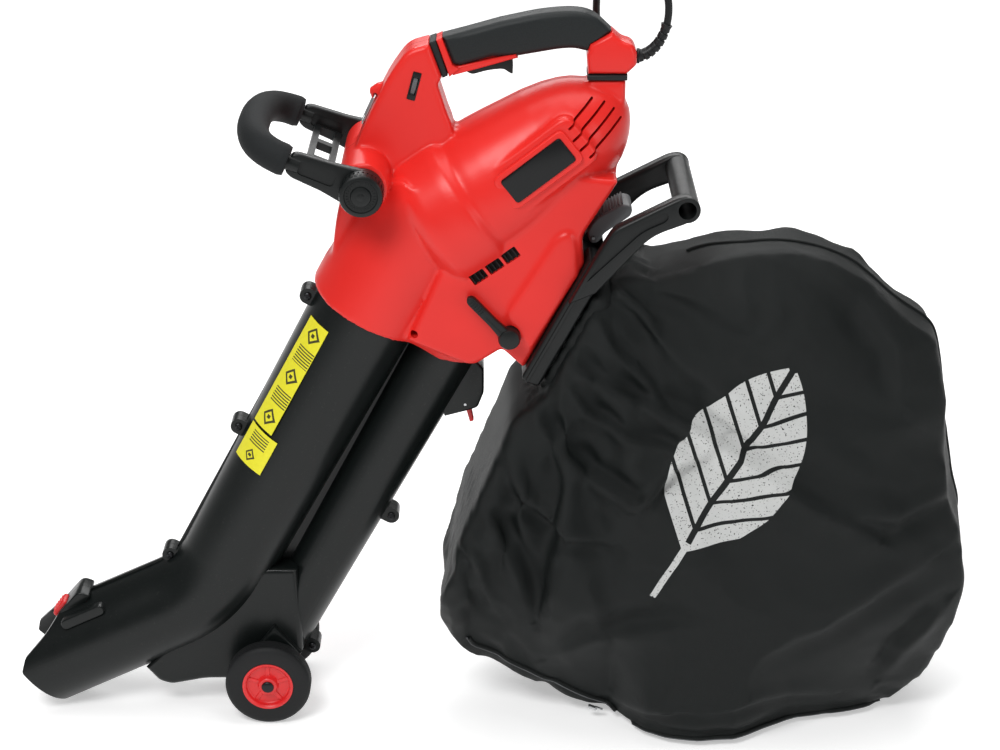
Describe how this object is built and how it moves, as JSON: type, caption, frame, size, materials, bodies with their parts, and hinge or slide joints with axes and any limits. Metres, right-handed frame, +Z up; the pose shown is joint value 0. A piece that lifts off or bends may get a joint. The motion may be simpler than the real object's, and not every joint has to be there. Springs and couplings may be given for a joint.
{
  "type": "leaf blower",
  "caption": "Corded electric leaf blower and vacuum with twin tubes, angled nozzle, transport wheels, pivoting front handle and cloth collection bag",
  "frame": {"origin": "on the floor under the middle of the box round the tool without its mains lead", "axes": "+X from the nozzle to the bag, the longest way; +Y to the right-hand side, the narrowest way; +Z up"},
  "size_m": [1.0923, 0.2573, 0.8705],
  "materials": {
    "red_body": "satin moulded red",
    "gloss_black": "gloss black",
    "black_plastic": "fine-grained black",
    "tube_plastic": "smooth satin black",
    "grey_plastic": "ribbed dark grey",
    "red_button": "satin red",
    "grip_rubber": "textured soft-touch",
    "cord_rubber": "smooth black",
    "foam": "closed-cell foam",
    "tyre": "ribbed black",
    "bag_cloth": "coarse woven polyester",
    "label": "printed film",
    "steel": "bright zinc",
    "copper": "enamelled windings",
    "alloy": "die-cast",
    "carbon": "pressed carbon"
  },
  "bodies": {
    "tool": {"housing_left": "red_body", "housing_right": "red_body", "badge_plate": "gloss_black", "motor_stator": "steel", "front_bearing": "steel", "rear_bearing": "steel", "rear_bearing_bridge": "alloy", "brush_left": "carbon", "brush_right": "carbon", "handle_left": "red_body", "handle_right": "red_body", "grip_cover": "grip_rubber", "isolator_front": "grip_rubber", "isolator_rear": "grip_rubber", "trigger_pin": "steel", "switch_body": "black_plastic", "trigger_spring": "steel", "dial_spindle": "black_plastic", "lead_boot": "cord_rubber", "mains_lead": "cord_rubber", "mains_plug": "cord_rubber", "clamp_bolt": "steel", "tube_left": "tube_plastic", "tube_right": "tube_plastic", "tube_screw_1": "steel", "tube_screw_2": "steel", "tube_screw_3": "steel", "tube_screw_4": "steel", "tube_screw_5": "steel", "tube_lock_pin": "steel", "sticker_long": "label", "sticker_short": "label", "axle": "steel", "axle_cap_left": "steel", "axle_cap_right": "steel", "bag_frame": "black_plastic", "bag_latch_pin": "steel", "collection_bag": "bag_cloth"},
    "rotor": {"motor_armature": "copper", "impeller": "alloy", "impeller_nut": "steel"},
    "trigger": {"trigger": "black_plastic"},
    "speed_dial": {"speed_dial": "grey_plastic"},
    "front_handle": {"front_handle_yoke": "black_plastic", "foam_grip": "foam"},
    "knob_left": {"knob_left": "black_plastic"},
    "knob_right": {"knob_right": "black_plastic"},
    "mode_selector": {"selector_lever": "black_plastic", "diverter_flap": "black_plastic"},
    "nozzle_button": {"nozzle_button": "red_button"},
    "tube_lock_lever": {"tube_lock_lever": "red_button"},
    "wheel_left": {"tyre_left": "tyre", "hub_left": "red_body"},
    "wheel_right": {"tyre_right": "tyre", "hub_right": "red_body"},
    "bag_latch": {"bag_latch": "grey_plastic"},
    "zip_slider": {"zip_slider": "steel"},
    "strap_ring": {"strap_ring": "steel"}
  },
  "joints": [
    {"name": "rotor_spin", "type": "hinge", "parent": "tool", "child": "rotor", "pos_m": [-0.0388, 0, 0.605], "axis": [0.8241, 0, 0.5664], "continuous": true},
    {"name": "trigger_squeeze", "type": "hinge", "parent": "tool", "child": "trigger", "pos_m": [-0.0318, 0, 0.764], "axis": [0, -1, 0], "range_deg": [0, 6], "stiffness_Nm_per_rad": 1.5, "springref_deg": -11.46, "deforming": ["trigger_spring"]},
    {"name": "speed_dial_turn", "type": "hinge", "parent": "tool", "child": "speed_dial", "pos_m": [-0.0843, -0.0152, 0.746], "axis": [-0.9659, 0, 0.2588], "range_deg": [0, 270]},
    {"name": "front_handle_tilt", "type": "hinge", "parent": "tool", "child": "front_handle", "pos_m": [-0.1378, 0, 0.652], "axis": [0, 1, 0], "range_deg": [-40, 40]},
    {"name": "knob_left_turn", "type": "hinge", "parent": "tool", "child": "knob_left", "pos_m": [-0.1378, -0.106, 0.652], "axis": [0, -1, 0], "range_deg": [0, 720]},
    {"name": "knob_right_turn", "type": "hinge", "parent": "tool", "child": "knob_right", "pos_m": [-0.1378, 0.106, 0.652], "axis": [0, 1, 0], "range_deg": [0, 720]},
    {"name": "mode_select", "type": "hinge", "parent": "tool", "child": "mode_selector", "pos_m": [0.0162, 0, 0.477], "axis": [0, 1, 0], "range_deg": [0, 71]},
    {"name": "nozzle_button_press", "type": "slide", "parent": "tool", "child": "nozzle_button", "axis": [0.7986, 0, -0.6018], "range_m": [0, 0.004], "stiffness_N_per_m": 800, "springref_m": -0.002},
    {"name": "tube_lock_press", "type": "hinge", "parent": "tool", "child": "tube_lock_lever", "pos_m": [-0.0328, 0, 0.377], "axis": [0, 1, 0], "range_deg": [0, 12], "stiffness_Nm_per_rad": 0.4, "springref_deg": -11.46},
    {"name": "wheel_left_roll", "type": "hinge", "parent": "tool", "child": "wheel_left", "pos_m": [-0.2608, -0.0625, 0.049], "axis": [0, 1, 0], "continuous": true},
    {"name": "wheel_right_roll", "type": "hinge", "parent": "tool", "child": "wheel_right", "pos_m": [-0.2608, 0.0625, 0.049], "axis": [0, 1, 0], "continuous": true},
    {"name": "bag_latch_release", "type": "hinge", "parent": "tool", "child": "bag_latch", "pos_m": [0.1072, 0, 0.576], "axis": [0, 1, 0], "range_deg": [0, 8], "stiffness_Nm_per_rad": 1, "springref_deg": -11.46},
    {"name": "zip_run", "type": "slide", "parent": "tool", "child": "zip_slider", "axis": [-0.93, 0, 0.3675], "range_m": [0, 0.1]},
    {"name": "strap_ring_swing", "type": "hinge", "parent": "tool", "child": "strap_ring", "pos_m": [-0.1263, 0, 0.731], "axis": [0, 1, 0], "range_deg": [0, 110]}
  ]
}
